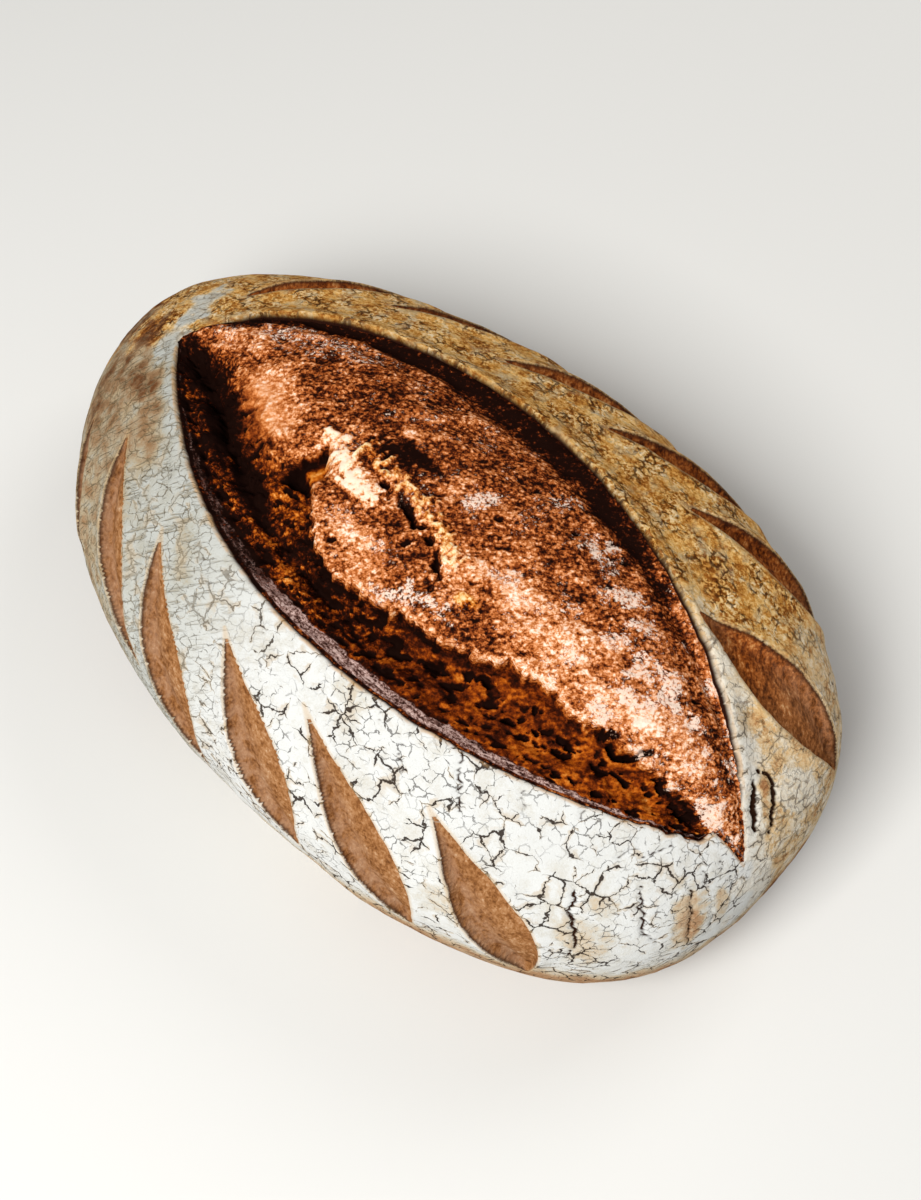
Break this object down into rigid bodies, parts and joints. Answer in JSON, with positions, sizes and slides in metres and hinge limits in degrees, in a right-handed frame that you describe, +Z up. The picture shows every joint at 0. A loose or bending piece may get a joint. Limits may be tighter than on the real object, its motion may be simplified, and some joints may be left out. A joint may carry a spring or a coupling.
{
  "type": "sourdough loaf",
  "caption": "Oval sourdough loaf with a flat base, a long burst split along its top and slanted slashes down both flanks, to set on a board or shelf.",
  "frame": {"origin": "middle of the loaf's plan, on the flat base it rests on", "axes": "+X along the loaf towards its front end, +Y across it towards the far flank, +Z up"},
  "size_m": [0.2862, 0.18, 0.0972],
  "materials": {
    "crust": "dry baked bread crust, matte, brown where the dough burst and white with flour on the skin"
  },
  "bodies": {
    "root": {"loaf": "crust"}
  },
  "joints": []
}
